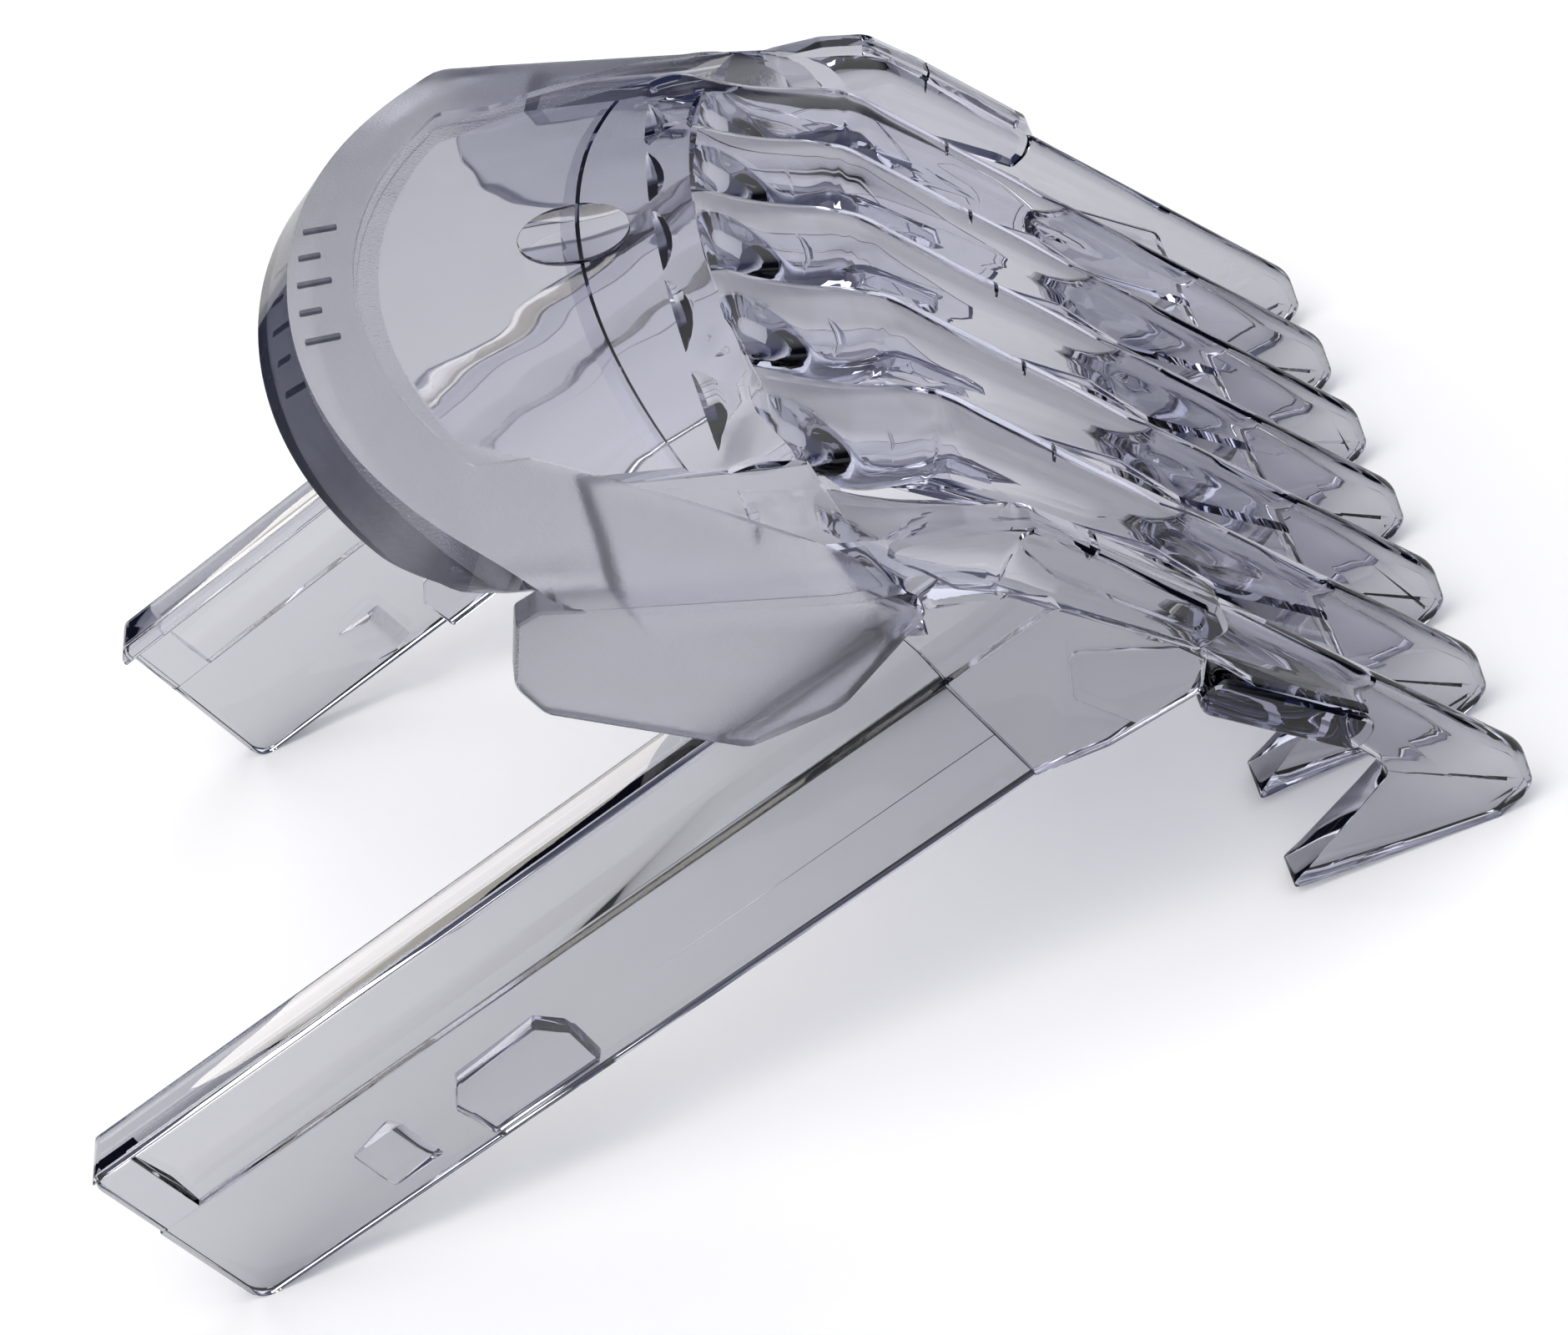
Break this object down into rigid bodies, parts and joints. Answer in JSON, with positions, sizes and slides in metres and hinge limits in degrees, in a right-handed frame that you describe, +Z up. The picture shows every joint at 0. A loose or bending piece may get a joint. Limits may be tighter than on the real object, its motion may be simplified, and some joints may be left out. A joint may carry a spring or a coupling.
{
  "type": "clipper guard comb",
  "caption": "Clear slide-on guard comb for a hair clipper: a toothed scoop under a rounded roof, with two springy side arms that grip the clipper's blade.",
  "frame": {"origin": "middle of the comb's box on the surface it stands on, with the tooth soles and the arm ends touching that surface", "axes": "+X to the right arm seen from the rear, +Y to the rear, from the teeth towards the arm ends, +Z up, towards the roof"},
  "size_m": [0.0504, 0.0728, 0.0406],
  "materials": {
    "head_clear": "clear injection-moulded plastic, polished",
    "teeth_clear": "clear injection-moulded plastic, polished",
    "crossbar_clear": "clear injection-moulded plastic, polished, with ejector marks",
    "rim_satin": "clear injection-moulded plastic with a fine spark-eroded satin",
    "arm_clear": "clear injection-moulded plastic, polished"
  },
  "bodies": {
    "comb_head": {"roof_plate": "head_clear", "rear_rim": "rim_satin", "gate_disc": "head_clear", "size_tick_1": "rim_satin", "size_tick_2": "rim_satin", "size_tick_3": "rim_satin", "size_tick_4": "rim_satin", "size_tick_5": "rim_satin", "tooth_1": "teeth_clear", "tooth_2": "teeth_clear", "tooth_3": "teeth_clear", "tooth_4": "teeth_clear", "tooth_5": "teeth_clear", "tooth_6": "teeth_clear", "tooth_7": "teeth_clear", "crossbar_bay_1": "crossbar_clear", "crossbar_bay_2": "crossbar_clear", "crossbar_bay_3": "crossbar_clear", "crossbar_bay_4": "crossbar_clear", "crossbar_bay_5": "crossbar_clear", "crossbar_bay_6": "crossbar_clear", "left_cheek": "head_clear", "left_wing": "rim_satin", "left_root_web": "head_clear", "left_root_rail": "head_clear", "left_root_gusset": "head_clear", "right_cheek": "head_clear", "right_wing": "rim_satin", "right_root_web": "head_clear", "right_root_rail": "head_clear", "right_root_gusset": "head_clear"},
    "left_arm": {"left_arm_web": "arm_clear", "left_arm_rail": "arm_clear", "left_guide_shoe": "arm_clear", "left_catch": "arm_clear"},
    "right_arm": {"right_arm_web": "arm_clear", "right_arm_rail": "arm_clear", "right_guide_shoe": "arm_clear", "right_catch": "arm_clear"}
  },
  "joints": [
    {"name": "left_arm_flex", "type": "hinge", "parent": "comb_head", "child": "left_arm", "pos_m": [-0.02225, -0.00003, 0.01546], "axis": [0, 0.276, 0.9612], "range_deg": [-1.5, 4], "stiffness_Nm_per_rad": 1.7},
    {"name": "right_arm_flex", "type": "hinge", "parent": "comb_head", "child": "right_arm", "pos_m": [0.02225, -0.00003, 0.01546], "axis": [0, -0.276, -0.9612], "range_deg": [-1.5, 4], "stiffness_Nm_per_rad": 1.7}
  ]
}
